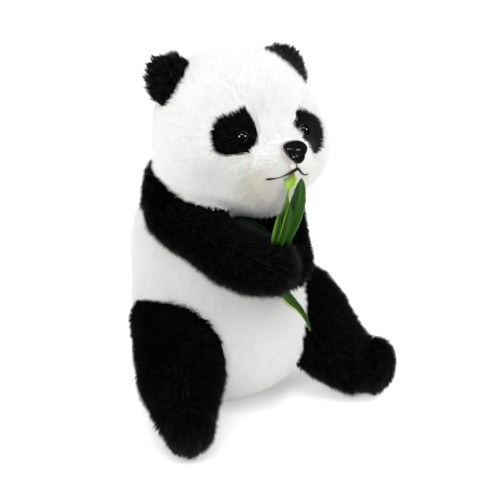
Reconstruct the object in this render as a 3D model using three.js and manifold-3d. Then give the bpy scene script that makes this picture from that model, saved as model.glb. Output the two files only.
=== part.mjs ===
// A sitting giant panda cub made as a plush toy, holding a bunch of fabric bamboo leaves to its mouth.
//
// Millimetres, +Z up, the face towards -Y, +X to the toy's own left.
// The origin is on the floor, under the middle of the trunk.
// Every soft piece is drawn out to the tips of its pile. Thin cuts part the pieces.

import * as THREE from "three";
import { mergeVertices } from "three/addons/utils/BufferGeometryUtils.js";
import Module from "manifold-3d";

const wasm = await Module();
wasm.setup();

// ---- driving sizes -------------------------------------------------------------------------------

const GAP = 0.35; // left between neighbouring pieces
const FACE_BLEND = 18; // how broadly the rounded forms of the head run into each other
const BODY_BLEND = 24; // and those of the trunk
const FAR = 400; // larger than the toy, for cutting blocks

const HEAD_MIDDLE = [0, -22, 212];
const SKULL = { at: [0, -15.5, 222], radii: [62.2, 50.8, 54] };
const CHEEK = { at: [34, -31, 197.8], radii: [37.6, 31.5, 31.8] };
const JAW = { at: [0, -32, 182.5], radii: [41, 34, 23.5] };
const BROW = { at: [31.2, -34, 212], radii: [22.8, 26, 24] };
const SNOUT = { at: [0, -66, 204], radii: [25.5, 26, 16], drop: 22 };
const LIP = { at: [0, -78, 197], radii: [16, 10.5, 8.5] };
const CHIN = { at: [0, -60, 181], radii: [23, 21, 20] };
const MUZZLE = { at: [0, -76, 196], radii: [26, 34, 24], drop: 14 }; // the inset of shorter pile
const NOSE = { at: [0, -91.2, 210.2], radii: [9, 5.6, 7.7] };
const EAR = { radii: [20.2, 15, 22], outward: 8, back: 22 };
const EAR_AT = { right: [-48, -12, 251.6], left: [42.2, -17.3, 254.8] };

const PATCH_DEPTH = 9; // of the eye patches into the head
const [PATCH_START, PATCH_REACH] = [-30, 80]; // where their block starts, and how far forward it goes
// Each patch's middle, its size against the outline below, and the degrees its outer end hangs.
const PATCH = {
  left: { across: 33.9, up: 216.2, size: 1.09, sag: 12 },
  right: { across: 30.8, up: 221, size: 1.05, sag: 0 },
};
const EYE = { across: { left: 25, right: 26 }, up: 218.5, radius: 5, proud: 1.4 };

const TRUNK_MIDDLE = [0, 4, 90];
const TRUNK = [
  { at: [0, 4, 41], radii: [72.5, 56, 46] },
  { at: [0, -6, 62], radii: [68.6, 62.8, 50] },
  { at: [0, 9.5, 92], radii: [71, 61, 60] },
  { at: [0, 11, 136], radii: [69, 57, 56] },
];
const YOKE_LEVEL = 153; // the black shoulder piece starts here, at the middle of the trunk
const YOKE_SLOPE = 16; // degrees, rising towards the back
const YOKE_BACK = 158; // where it levels off, down the back
const TAIL = { at: [0, 66, 33], radii: [17, 17, 15] };

// Middles and radii along the limbs: [x, y, z, radius].
const ARM = {
  right: [
    [-46.5, -4.8, 178, 24.4],
    [-53.3, -25, 158.7, 25.6],
    [-45, -52, 147.8, 23],
    [-31, -71, 134.3, 24.9],
    [-15, -82, 129.8, 23.2],
  ],
  left: [
    [42, 2, 170, 22],
    [41, -15, 151, 21.5],
    [29, -37, 135.2, 21],
    [18.5, -57, 126.4, 20.5],
    [10, -71, 123.4, 19.5],
  ],
};
const LEG = {
  right: [
    [-45.2, 4.9, 72.6, 34.6],
    [-54.4, -26, 59, 37.8],
    [-67.2, -47.6, 46.2, 34],
    [-75, -65.7, 34.5, 27.2],
  ],
  left: [
    [46, 4.4, 70.8, 40.4],
    [58, -24.6, 62.4, 39],
    [67.3, -50.9, 39.6, 31.8],
    [75.8, -70.4, 27, 26.6],
  ],
};
const FOOT = { radii: [20, 18.5, 25.8], lean: 6, outward: 30 };
const FOOT_AT = { right: [-79.6, -79.8, 25.5], left: [88.1, -82.9, 27.5] };

// ---- fields: negative inside, positive outside, in millimetres -----------------------------------

const vector = (p) => new THREE.Vector3(...p);
const turned = (...degrees) =>
  new THREE.Quaternion().setFromEuler(new THREE.Euler(...degrees.map(THREE.MathUtils.degToRad)));

// An ellipsoid at a point, with its three radii, turned by a quaternion.
function egg({ at, radii }, turn = new THREE.Quaternion()) {
  const centre = vector(at);
  const back = turn.clone().invert();
  const [a, b, c] = radii;
  const local = new THREE.Vector3();
  return (p) => {
    const { x, y, z } = local.copy(p).sub(centre).applyQuaternion(back);
    const near = Math.hypot(x / a, y / b, z / c);
    const slope = Math.hypot(x / a ** 2, y / b ** 2, z / c ** 2);
    return slope < 1e-9 ? -Math.min(...radii) : (near * (near - 1)) / slope;
  };
}

// Fields melted into each other over a width, as stuffed cloth is.
function blend(width, ...fields) {
  const melt = (a, b) => {
    const overlap = Math.max(width - Math.abs(a - b), 0) / width;
    return Math.min(a, b) - (overlap ** 2 * width) / 4;
  };
  return (p) => fields.map((field) => field(p)).reduce(melt);
}

// A limb of round section through stops along its middle.
function tube(stops) {
  const spans = stops.slice(1).map((end, i) => [stops[i], end]);
  const [start, along, from] = [1, 2, 3].map(() => new THREE.Vector3());
  const toSpan = (p, [a, b]) => {
    start.fromArray(a);
    along.fromArray(b).sub(start);
    from.copy(p).sub(start);
    const t = THREE.MathUtils.clamp(from.dot(along) / along.lengthSq(), 0, 1);
    return from.addScaledVector(along, -t).length() - THREE.MathUtils.lerp(a[3], b[3], t);
  };
  return (p) => Math.min(...spans.map((span) => toSpan(p, span)));
}

// How far along a ray from inside a field its surface lies.
function reach(field, from, way) {
  const p = new THREE.Vector3();
  let [inside, outside] = [0, 180];
  for (let step = 0; step < 26; step++) {
    const middle = (inside + outside) / 2;
    if (field(p.copy(from).addScaledVector(way, middle)) < 0) inside = middle;
    else outside = middle;
  }
  return inside;
}

// ---- solids --------------------------------------------------------------------------------------

// A closed geometry as a solid that can be cut and joined.
function solid(geometry) {
  const bare = geometry.clone();
  bare.deleteAttribute("normal");
  bare.deleteAttribute("uv");
  const merged = mergeVertices(bare, 1e-4);
  return new wasm.Manifold(
    new wasm.Mesh({
      numProp: 3,
      vertProperties: merged.attributes.position.array,
      triVerts: new Uint32Array(merged.index.array),
    }),
  );
}

// A field meshed by pushing a sphere's points out from a middle to its surface.
function star(field, middle, detail, grow = 0) {
  const geometry = new THREE.IcosahedronGeometry(1, detail);
  const points = geometry.getAttribute("position");
  const from = vector(middle);
  const way = new THREE.Vector3();
  const grown = (p) => field(p) - grow;
  for (let i = 0; i < points.count; i++) {
    way.fromBufferAttribute(points, i).normalize();
    way.multiplyScalar(reach(grown, from, way)).add(from);
    points.setXYZ(i, way.x, way.y, way.z);
  }
  return solid(geometry);
}

// A closed body through rings of points, its two ends closed to their middles.
function loft(rings) {
  const sides = rings[0].length;
  const middle = (ring) =>
    ring.reduce((sum, p) => sum.add(p), new THREE.Vector3()).divideScalar(ring.length);
  const points = [...rings.flat(), middle(rings[0]), middle(rings.at(-1))];
  const [first, last] = [points.length - 2, points.length - 1];
  const top = (rings.length - 1) * sides;
  const faces = [];
  for (let s = 0; s < sides; s++) {
    const next = (s + 1) % sides;
    for (let row = 0; row < top; row += sides) {
      const [a, b] = [row + s, row + next];
      faces.push(a, b, b + sides, a, b + sides, a + sides);
    }
    faces.push(first, next, s, last, top + s, top + next);
  }
  const geometry = new THREE.BufferGeometry().setFromPoints(points);
  geometry.setIndex(faces);
  return solid(geometry);
}

const curveOf = (stops) =>
  new THREE.CatmullRomCurve3(stops.map((stop) => new THREE.Vector3().fromArray(stop)));

// A limb's solid: rings pushed out from its middle line, fanned out at both ends.
function limb(stops, { rings = 8, sides = 14, caps = 2, grow = 0 } = {}) {
  const field = tube(stops);
  const grown = (p) => field(p) - grow;
  const curve = curveOf(stops);
  const { tangents, normals, binormals } = curve.computeFrenetFrames(rings, false);
  const ringAt = (i, lean) => {
    const from = curve.getPointAt(i / rings);
    return Array.from({ length: sides }, (_, s) => {
      const angle = (2 * Math.PI * s) / sides;
      const way = new THREE.Vector3()
        .addScaledVector(normals[i], Math.cos(angle) * Math.cos(lean))
        .addScaledVector(binormals[i], Math.sin(angle) * Math.cos(lean))
        .addScaledVector(tangents[i], Math.sin(lean));
      return from.clone().addScaledVector(way, reach(grown, from, way));
    });
  };
  const fan = Array.from({ length: caps }, (_, c) => (Math.PI / 2) * ((c + 1) / (caps + 0.6)));
  return loft([
    ...fan.map((lean) => ringAt(0, -lean)).reverse(),
    ...Array.from({ length: rings + 1 }, (_, i) => ringAt(i, 0)),
    ...fan.map((lean) => ringAt(rings, lean)),
  ]);
}

// A block that fills everything on the far side of a plane through a point.
function halfSpace(point, outward) {
  const up = new THREE.Vector3(0, 0, 1);
  const block = new THREE.BoxGeometry(FAR, FAR, FAR);
  block.translate(0, 0, FAR / 2);
  block.applyQuaternion(new THREE.Quaternion().setFromUnitVectors(up, vector(outward)));
  block.translate(...point);
  return solid(block);
}

const cut = (body, ...tools) => tools.reduce((left, tool) => left.subtract(tool), body);
const floor = halfSpace([0, 0, 0], [0, 0, -1]);

// ---- materials -----------------------------------------------------------------------------------

const material = (name, color, roughness) =>
  new THREE.MeshStandardMaterial({ name, color, roughness, metalness: 0 });
const WHITE_PLUSH = material("white_plush", 0xf1efea, 0.95);
const BLACK_PLUSH = material("black_plush", 0x141416, 0.95);
const MUZZLE_PLUSH = material("muzzle_plush", 0xefeae0, 0.95);
const EYE_PLASTIC = material("eye_plastic", 0x0a0807, 0.08);
const NOSE_PLASTIC = material("nose_plastic", 0x121213, 0.25);
const LEAF_CLOTH = material("leaf_cloth", 0x3f8f1f, 0.6);
const LIME_CLOTH = material("lime_cloth", 0x9ccf3a, 0.6);

const toy = new THREE.Group();
toy.name = "plush_panda";

// Adds a solid to the toy as a mesh whose own origin is at the middle of its box.
function piece(name, body, material) {
  const { vertProperties, triVerts } = body.getMesh();
  const geometry = new THREE.BufferGeometry();
  geometry.setAttribute("position", new THREE.BufferAttribute(vertProperties.slice(), 3));
  geometry.setIndex(new THREE.BufferAttribute(triVerts.slice(), 1));
  geometry.computeBoundingBox();
  const middle = geometry.boundingBox.getCenter(new THREE.Vector3());
  geometry.translate(-middle.x, -middle.y, -middle.z);
  geometry.computeVertexNormals();
  const mesh = new THREE.Mesh(geometry, material);
  mesh.name = name;
  mesh.position.copy(middle);
  toy.add(mesh);
}

const SIDES = { left: 1, right: -1 };
const onSide = ({ at: [x, y, z], ...rest }, side) => ({ at: [side * x, y, z], ...rest });

// ---- head ----------------------------------------------------------------------------------------

const headField = blend(
  FACE_BLEND,
  egg(SKULL),
  egg(onSide(CHEEK, 1)),
  egg(onSide(CHEEK, -1)),
  egg(onSide(BROW, 1)),
  egg(onSide(BROW, -1)),
  egg(JAW),
  egg(SNOUT, turned(-SNOUT.drop, 0, 0)),
  egg(LIP),
  egg(CHIN),
);
const headOf = (detail, grow) => star(headField, HEAD_MIDDLE, detail, grow);
const headWhole = headOf(7, 0);
const headGrown = headOf(7, GAP);

const muzzleField = egg(MUZZLE, turned(-MUZZLE.drop, 0, 0));
const muzzleTool = (grow) => star(muzzleField, MUZZLE.at, 3, grow);

// An eye patch's outline seen from the front, for the left eye, drawn round its middle.
const PATCH_POINTS = [
  [-11.2, 17.4],
  [-15.6, 10],
  [-15.4, 3.2],
  [-8.4, -6.8],
  [-3, -11.8],
  [6, -13.5],
  [12.5, -11.5],
  [14.6, -5],
  [13.8, 3],
  [8.8, 10.6],
  [-0.5, 13],
].map(([across, up]) => new THREE.Vector2(across, up));

// A block through the face with an eye patch's outline, widened by a margin.
function patchBlock(name, margin) {
  const side = SIDES[name];
  const { across, up, size, sag } = PATCH[name];
  const ring = new THREE.SplineCurve([...PATCH_POINTS, PATCH_POINTS[0]]);
  const outline = ring
    .getSpacedPoints(20)
    .slice(1)
    .map((p) => p.setLength(p.length() * size + margin))
    .map((p) => p.rotateAround(new THREE.Vector2(), -THREE.MathUtils.degToRad(sag)));
  const shape = new THREE.Shape(outline.map((p) => new THREE.Vector2(side * p.x, p.y)));
  const block = new THREE.ExtrudeGeometry(shape, { depth: PATCH_REACH, bevelEnabled: false });
  block.rotateX(Math.PI / 2);
  block.translate(side * across, PATCH_START, up);
  return solid(block);
}

const pocketFloor = headOf(3, -PATCH_DEPTH);
const pocketFloorGrown = headOf(3, -PATCH_DEPTH - GAP);
let head = cut(headWhole, muzzleTool(GAP));
for (const [name, side] of Object.entries(SIDES)) {
  const from = vector([side * EYE.across[name], HEAD_MIDDLE[1], EYE.up]);
  const depth = reach(headField, from, new THREE.Vector3(0, -1, 0));
  const eyeAt = [from.x, from.y - depth + EYE.radius - EYE.proud, from.z];
  const ball = (grow) => star(egg({ at: eyeAt, radii: [1, 1, 1].map(() => EYE.radius) }), eyeAt, 2, grow);
  const socket = ball(GAP);
  piece("eye_" + name, ball(0), EYE_PLASTIC);
  const patch = cut(headWhole.intersect(patchBlock(name, 0)), pocketFloor, muzzleTool(GAP), socket);
  piece("eye_patch_" + name, patch, BLACK_PLUSH);
  head = cut(head, cut(patchBlock(name, GAP), pocketFloorGrown), socket);
}
const noseOf = (grow) => star(egg(NOSE), NOSE.at, 2, grow);
piece("nose", noseOf(0), NOSE_PLASTIC);
piece("muzzle", cut(headWhole.intersect(muzzleTool(0)), noseOf(GAP)), MUZZLE_PLUSH);
piece("head", cut(head, noseOf(GAP)), WHITE_PLUSH);

for (const [name, side] of Object.entries(SIDES)) {
  const at = EAR_AT[name];
  const earField = egg({ at, radii: EAR.radii }, turned(-EAR.back, 0, side * EAR.outward));
  piece("ear_" + name, cut(star(earField, at, 3), headGrown), BLACK_PLUSH);
}

// ---- trunk ---------------------------------------------------------------------------------------

const trunkField = blend(BODY_BLEND, ...TRUNK.map((part) => egg(part)));
const trunkWhole = cut(star(trunkField, TRUNK_MIDDLE, 6), floor, headGrown);
const trunkGrown = star(trunkField, TRUNK_MIDDLE, 6, GAP);
const yokeUp = new THREE.Vector3(0, 0, 1).applyQuaternion(turned(YOKE_SLOPE, 0, 0)).toArray();
const yokeSpace = (drop) =>
  halfSpace([0, 0, YOKE_LEVEL - drop], yokeUp).add(halfSpace([0, 0, YOKE_BACK - drop], [0, 0, 1]));
piece("shoulders", trunkWhole.intersect(yokeSpace(0)), BLACK_PLUSH);
piece("trunk", cut(trunkWhole, yokeSpace(GAP)), WHITE_PLUSH);
piece("tail", cut(star(egg(TAIL), TAIL.at, 2), trunkGrown, floor), WHITE_PLUSH);

// ---- limbs ---------------------------------------------------------------------------------------

const rightArmGrown = limb(ARM.right, { grow: GAP });
const leftArm = cut(limb(ARM.left), trunkGrown, headGrown, rightArmGrown);
piece("arm_right", cut(limb(ARM.right), trunkGrown, headGrown), BLACK_PLUSH);
piece("arm_left", leftArm, BLACK_PLUSH);

for (const [name, side] of Object.entries(SIDES)) {
  const stops = LEG[name];
  const at = FOOT_AT[name];
  const footField = egg({ at, radii: FOOT.radii }, turned(FOOT.lean, 0, side * FOOT.outward));
  piece("leg_" + name, cut(limb(stops, { rings: 6, sides: 16 }), floor, trunkGrown), BLACK_PLUSH);
  const legGrown = limb(stops, { rings: 6, sides: 16, grow: GAP });
  piece("foot_" + name, cut(star(footField, at, 3), floor, legGrown), BLACK_PLUSH);
}

// ---- bamboo leaves -------------------------------------------------------------------------------

const LEAF_THICK = 1.2; // along the midrib
const LEAF_RIM = 0.7; // at the edges

// The bunch faces a little to the toy's right. Its stops along each midrib are
// [across the bunch, out from the toy, up, width, degrees turned from the way the bunch faces].
const BUNCH_TURN = 38;
const LEAVES = {
  leaf_lime: [
    [51.6, 68.5, 195.8, 9.5, 0],
    [53.3, 76.4, 193.4, 9, 0],
    [52.8, 79.4, 189, 5.8, -15],
    [51.9, 81.4, 184.8, 2.8, -60],
    [51.6, 82, 177.8, 5.4, -45],
    [50.2, 80.8, 168, 7.5, -12],
    [47.5, 78.5, 158, 7.5, 0],
    [45.5, 74.5, 149, 7, 0],
    [43, 69, 141, 6, 0],
  ],
  leaf_front: [
    [60.6, 79.7, 194, 1.2, 0],
    [60.2, 79.7, 189, 6, 0],
    [58.8, 78.6, 179, 10, 0],
    [55.8, 76, 168, 11.5, 0],
    [52.6, 73, 158, 11, 0],
    [49.6, 69.5, 148, 9, 0],
    [47.6, 66, 140, 7, 0],
  ],
  leaf_folded: [
    [53.4, 87, 178, 1.2, -10],
    [52.9, 86.6, 172, 4.5, -15],
    [51.3, 85, 164, 6, -15],
    [49, 82, 155, 5.5, -12],
    [46.6, 78.2, 147, 4.5, -10],
    [44.6, 74, 140, 4, -10],
  ],
  leaf_narrow: [
    [46.6, 86, 171, 1.2, -20],
    [45.9, 85.6, 166, 3.8, -20],
    [44.6, 83.8, 159, 4.6, -15],
    [42.9, 81, 151, 4.2, -10],
    [41, 77, 143, 3.6, -10],
  ],
  leaf_low: [
    [47, 62, 116, 6, 8],
    [49.2, 62.5, 107, 8.2, 8],
    [54.4, 58.6, 98.5, 7.6, 6],
    [60, 54.5, 89, 5.2, 2],
    [64.8, 51, 80, 3, -2],
    [69, 47.5, 71.5, 1.2, -2],
  ],
  leaf_dark: [
    [38.6, 43.5, 141, 6, 10],
    [31.7, 47.5, 148, 9, 10],
    [24.4, 51, 154, 8, 8],
    [17.2, 54.5, 159, 1.2, 8],
  ],
};

// A leaf: a thin blade along its midrib, a little folded, that turns as its stops say.
function blade(bunchStops) {
  const RINGS = 9;
  const stops = bunchStops.map(([across, out, ...rest]) => [across, -out, ...rest]);
  const curve = curveOf(stops);
  const valueAt = (t, column) => {
    const at = t * (stops.length - 1);
    const i = Math.min(Math.floor(at), stops.length - 2);
    return THREE.MathUtils.lerp(stops[i][column], stops[i + 1][column], at - i);
  };
  const rings = Array.from({ length: RINGS + 1 }, (_, i) => {
    const t = i / RINGS;
    const along = curve.getTangent(t);
    const out = new THREE.Vector3(0, -1, 0).applyQuaternion(turned(0, 0, valueAt(t, 4)));
    const across = out.clone().cross(along).normalize();
    const normal = along.clone().cross(across).normalize();
    const half = valueAt(t, 3) / 2;
    const [mid, rim] = [LEAF_THICK / 2, LEAF_RIM / 2];
    const fold = half * 0.22;
    const section = [
      [-half, fold - rim],
      [0, -mid],
      [half, fold - rim],
      [half, fold + rim],
      [0, mid],
      [-half, fold + rim],
    ];
    return section.map(([side, up]) =>
      curve.getPoint(t).addScaledVector(across, side).addScaledVector(normal, up),
    );
  });
  const bunch = turned(0, 0, -BUNCH_TURN);
  return loft(rings.map((ring) => ring.map((p) => p.applyQuaternion(bunch))));
}

const leftArmGrown = limb(ARM.left, { grow: GAP });
for (const [name, stops] of Object.entries(LEAVES)) {
  const leaf = cut(blade(stops), rightArmGrown, leftArmGrown, headGrown, trunkGrown);
  piece(name, leaf, name === "leaf_lime" ? LIME_CLOTH : LEAF_CLOTH);
}

export default toy;
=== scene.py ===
# A plush giant panda toy that sits and holds fabric bamboo leaves to its mouth.
#
# Metres, +Z up, the face towards -Y, +X to the toy's own left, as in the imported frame.
# The pile is real mesh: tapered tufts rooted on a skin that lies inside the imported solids.

import copy
import math

import bmesh
import bpy
import numpy as np
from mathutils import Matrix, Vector
from mathutils.bvhtree import BVHTree
from mathutils.kdtree import KDTree


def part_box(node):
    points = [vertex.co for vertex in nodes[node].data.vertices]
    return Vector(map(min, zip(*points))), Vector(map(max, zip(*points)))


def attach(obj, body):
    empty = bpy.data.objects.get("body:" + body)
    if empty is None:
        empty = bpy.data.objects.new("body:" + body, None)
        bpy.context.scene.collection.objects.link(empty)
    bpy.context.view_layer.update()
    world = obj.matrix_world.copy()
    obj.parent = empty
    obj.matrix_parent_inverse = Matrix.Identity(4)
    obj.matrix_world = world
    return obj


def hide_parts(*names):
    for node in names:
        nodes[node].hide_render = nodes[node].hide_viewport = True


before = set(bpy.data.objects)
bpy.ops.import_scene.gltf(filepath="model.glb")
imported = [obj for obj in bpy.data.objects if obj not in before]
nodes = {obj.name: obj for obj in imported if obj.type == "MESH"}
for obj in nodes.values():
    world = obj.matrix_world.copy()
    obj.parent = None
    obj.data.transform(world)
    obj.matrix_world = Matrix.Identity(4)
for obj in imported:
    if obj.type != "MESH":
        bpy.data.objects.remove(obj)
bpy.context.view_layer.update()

MM = 0.001


def placed(name, data):
    """A new object in the scene."""
    thing = bpy.data.objects.new(name, data)
    bpy.context.scene.collection.objects.link(thing)
    return thing


# ---- camera, light and floor ----

CAMERA_TURN = -33.6  # degrees round the toy, from straight in front
CAMERA_RISE = 17.7  # degrees above the floor
CAMERA_RANGE = 0.650  # from the point it looks at
CAMERA_TARGET = Vector((0.0242, 0, 0.1133))
CAMERA_LENS = 58.03  # on a 36 mm sensor


def way_to(turn, rise):
    """The direction from the toy to a place round it, in degrees."""
    a, e = math.radians(turn), math.radians(rise)
    return Vector((math.sin(a) * math.cos(e), -math.cos(a) * math.cos(e), math.sin(e)))


def add_camera():
    camera = placed("camera", bpy.data.cameras.new("camera"))
    back = way_to(CAMERA_TURN, CAMERA_RISE)
    camera.location = CAMERA_TARGET + back * CAMERA_RANGE
    camera.rotation_euler = (-back).to_track_quat("-Z", "Y").to_euler()
    camera.data.lens = CAMERA_LENS
    camera.data.clip_start = 0.01
    bpy.context.scene.camera = camera


SOFTBOX_RANGE = 1.2
# Each softbox: its way round, its height in degrees, its width and height, and its light in watts.
SOFTBOXES = {
    "strip": (-34, 62, 0.9, 0.16, 3.2),
    "left_box": (-76, 30, 0.34, 0.34, 5.2),
    "right_box": (27, 33, 0.3, 0.3, 4.0),
}
SHINE_ONLY = ("left_box", "right_box")
ROOM_LIGHT = 0.96
# Each wide soft light: its way round, its height and its spread in degrees, and its strength.
WASHES = {
    "overhead": (0, 85, 60, 0.5),
    "front_fill": (-30, 14, 50, 1.0),
    "left_fill": (-105, 24, 60, 0.85),
    "right_fill": (42, 22, 60, 0.85),
}


def add_light(name, kind, turn, rise, energy):
    light = bpy.data.lights.new(name, kind)
    light.energy = energy
    lamp = placed(name, light)
    way = way_to(turn, rise)
    lamp.location = CAMERA_TARGET + way * SOFTBOX_RANGE
    lamp.rotation_euler = (-way).to_track_quat("-Z", "Y").to_euler()
    return lamp


def add_lights():
    """A white room, softboxes whose shine shows in the eyes and nose, and wide soft washes."""
    world = bpy.data.worlds.new("studio")
    bpy.context.scene.world = world
    world.use_nodes = True
    room = world.node_tree.nodes["Background"].inputs
    room["Color"].default_value = (1, 1, 1, 1)
    room["Strength"].default_value = ROOM_LIGHT
    world.cycles_visibility.glossy = False
    for name, (turn, rise, wide, high, watts) in SOFTBOXES.items():
        lamp = add_light(name, "AREA", turn, rise, watts)
        lamp.visible_diffuse = name not in SHINE_ONLY
        lamp.data.shape = "RECTANGLE"
        lamp.data.size, lamp.data.size_y = wide, high
    for name, (turn, rise, spread, strength) in WASHES.items():
        lamp = add_light(name, "SUN", turn, rise, strength)
        lamp.data.angle = math.radians(spread)
        lamp.visible_glossy = False
    bpy.context.scene.view_settings.view_transform = "Standard"


# A painted pool of light on the floor at the toy's left, where the floor glows most to lighten
# the toy's shadow: its middle, and the distances at which that is full and gone, with the floor's
# own glow there and elsewhere.
FLOOR_LIGHT_POOL, BRIGHT_FULL, BRIGHT_GONE = (0.060, -0.085, 0), 40 * MM, 62 * MM
FLOOR_GLOW, BRIGHT_GLOW = 0.2, 0.42
FLOOR_FAR = 60.0  # from the toy to the floor's edge


def add_floor():
    """A white floor that glows a little, and more in a painted pool of light on the toy's left."""
    mesh = bpy.data.meshes.new("floor")
    corners = [(x * FLOOR_FAR, y * FLOOR_FAR, 0) for x, y in ((-1, -1), (1, -1), (1, 1), (-1, 1))]
    mesh.from_pydata(corners, [], [(0, 1, 2, 3)])
    floor = placed("floor", mesh)
    n = Nodes("glowing_floor")
    bright = n.near(FLOOR_LIGHT_POOL, BRIGHT_FULL, BRIGHT_GONE)
    glow = n.add("MapRange", {"Value": bright, "To Min": FLOOR_GLOW, "To Max": BRIGHT_GLOW}, "Result")
    n.surface((0.97, 0.97, 0.97, 1), 0.9, 0.1)
    n.feed(n.shader, {"Emission Color": (1, 1, 1, 1), "Emission Strength": glow})
    floor.visible_glossy = False
    mesh.materials.append(n.material)


# ---- materials ----


class Nodes:
    """Short ways to add nodes to a material and join them."""

    def __init__(self, name):
        self.material = bpy.data.materials.new(name)
        self.material.use_nodes = True
        self.tree = self.material.node_tree
        self.shader = self.tree.nodes["Principled BSDF"]

    def feed(self, node, inputs):
        """Gives inputs of a node their values, or links them to outputs of others."""
        for key, value in inputs.items():
            if isinstance(value, bpy.types.NodeSocket):
                self.tree.links.new(value, node.inputs[key])
            else:
                node.inputs[key].default_value = value

    def add(self, kind, inputs, out, **settings):
        node = self.tree.nodes.new("ShaderNode" + kind)
        for key, value in settings.items():
            setattr(node, key, value)
        self.feed(node, inputs)
        return node.outputs[out]

    def math(self, operation, *inputs, kind="Math", out="Value"):
        return self.add(kind, dict(enumerate(inputs)), out, operation=operation)

    def mix(self, blend, factor, a, b):
        inputs = {"Factor": factor, "A": a, "B": b}
        return self.add("Mix", inputs, "Result", data_type="RGBA", blend_type=blend)

    def surface(self, colour, rough, shine):
        """The shader's colour, how rough it is and how much it mirrors."""
        self.feed(self.shader, {"Base Color": colour, "Roughness": rough, "Specular IOR Level": shine})

    def place(self):
        return self.add("TexCoord", {}, "Object")

    def noise(self, scale, detail=3.0, rough=0.5, place=None):
        """Noise by the place on the toy, or by another place."""
        place = self.place() if place is None else place
        inputs = {"Vector": place, "Scale": scale, "Detail": detail, "Roughness": rough}
        return self.add("TexNoise", inputs, "Fac")

    def ramp(self, factor, *stops):
        colour = self.add("ValToRGB", {"Fac": factor}, "Color")
        ramp = colour.node.color_ramp
        while len(ramp.elements) < len(stops):
            ramp.elements.new(1.0)
        for element, (place, dye) in zip(ramp.elements, stops):
            element.position = place
            element.color = (*dye, 1)
        return colour

    def bump(self, height, depth, strength):
        inputs = {"Height": height, "Distance": depth, "Strength": strength}
        self.feed(self.shader, {"Normal": self.add("Bump", inputs, "Normal")})

    def near(self, point, full, none):
        """1 within one distance of a point of the toy, falling to 0 at another."""
        gap = self.math("DISTANCE", self.place(), point, kind="VectorMath")
        inputs = {"Value": gap, "From Min": none, "From Max": full}
        return self.add("MapRange", inputs, "Result", interpolation_type="SMOOTHSTEP")

    def tint(self, colour, factor, dye, strength):
        """The colour, multiplied by a dye where the factor is high."""
        return self.mix("MULTIPLY", self.math("MULTIPLY", factor, strength), colour, (*dye, 1))


TUFT_SHADES = 110  # how many shades across a node's place on the bake map
CLUMP_SHADES = 90  # and to a metre of the toy
# Painted shade, a little yellow, along the muzzle's seam, standing in for the shadow in its crease.
SEAM_FAR, SEAM_HALF = 31.5 * MM, 2.2 * MM  # the muzzle's seam from its middle, and half its shade's width
SEAM_SHADE_DYE, SEAM_STRENGTH = (0.86, 0.83, 0.66), 0.42


def seam_painted_shade(n, colour):
    """Painted shade with a yellowish tint: a faint line at the sides of the muzzle, along the crease of
    its sewn edge.
    """
    middle = NOSE_AT + (0, 0, -13 * MM)
    outer = n.near(middle, SEAM_FAR, SEAM_FAR + SEAM_HALF)
    inner = n.near(middle, SEAM_FAR - SEAM_HALF, SEAM_FAR)
    shell = n.math("SUBTRACT", outer, inner)
    for side in (-1, 1):
        cheek = NOSE_AT + (side * 25 * MM, 18 * MM, -18 * MM)
        along = n.math("MULTIPLY", shell, n.near(cheek, 12 * MM, 24 * MM))
        colour = n.tint(colour, along, SEAM_SHADE_DYE, SEAM_STRENGTH)
    return colour


def plush(name, dark, light, spread, sheen, shine, airbrush_and_painted_shade=()):
    """Pile cloth: two close shades tuft by tuft, matt, with a soft sheen at its edges."""
    n = Nodes(name)
    patch = n.add("UVMap", {}, "UV", uv_map="OFBake")
    tuft = n.math("MULTIPLY", patch, (TUFT_SHADES, TUFT_SHADES, 1), kind="VectorMath", out="Vector")
    clump = (CLUMP_SHADES, CLUMP_SHADES, CLUMP_SHADES)
    where = n.math("MULTIPLY_ADD", n.place(), clump, tuft, kind="VectorMath", out="Vector")
    shades = n.noise(1.0, 3.0, 0.65, where)
    colour = n.ramp(shades, (spread[0], dark), (spread[1], light))
    # airbrushed tints, then painted shade under the muzzle's sides and along its seam
    for point, full, none, dye, strength in airbrush_and_painted_shade:
        colour = n.tint(colour, n.near(point, full, none), dye, strength)
    if airbrush_and_painted_shade:
        colour = seam_painted_shade(n, colour)
    n.surface(colour, 0.55, shine)
    n.feed(n.shader, {"Sheen Weight": sheen, "Sheen Roughness": 0.45})
    return n.material


# ---- arrays of points ----


def unit(v):
    return v / np.maximum(np.linalg.norm(v, axis=-1, keepdims=True), 1e-12)


def dot(a, b):
    return (a * b).sum(1, keepdims=True)


def step(low, high, value):
    """0 below low, 1 above high, smooth between."""
    t = np.clip((value - low) / (high - low), 0, 1)
    return t * t * (3 - 2 * t)


def cloud_noise(points, size, seed):
    """Three channels of smooth noise, about -1 to 1, with lumps of the given size."""
    cells = 32
    table = np.random.default_rng(seed).uniform(-1, 1, (cells, cells, cells, 3))
    place = points / size
    low = np.floor(place).astype(int)
    part = place - low
    part = part * part * (3 - 2 * part)
    total = np.zeros((len(points), 3))
    for corner in np.ndindex(2, 2, 2):
        i, j, k = ((low + corner) % cells).T
        weight = np.where(corner, part, 1 - part).prod(1)
        total += table[i, j, k] * weight[:, None]
    return total


def read(mesh, layer, field, width, kind=np.float64):
    """A mesh's vertex, edge or triangle field as rows."""
    rows = getattr(mesh, layer)
    flat = np.zeros(len(rows) * width, kind)
    rows.foreach_get(field, flat)
    return flat.reshape(-1, width)


def nearest_of(points):
    """A tree that finds the nearest of some points."""
    tree = KDTree(len(points))
    for i, point in enumerate(points.tolist()):
        tree.insert(point, i)
    tree.balance()
    return tree


def surface_of(points, triangles):
    """A tree that finds the nearest place on some triangles."""
    return BVHTree.FromPolygons(points.tolist(), triangles.tolist(), all_triangles=True)


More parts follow.
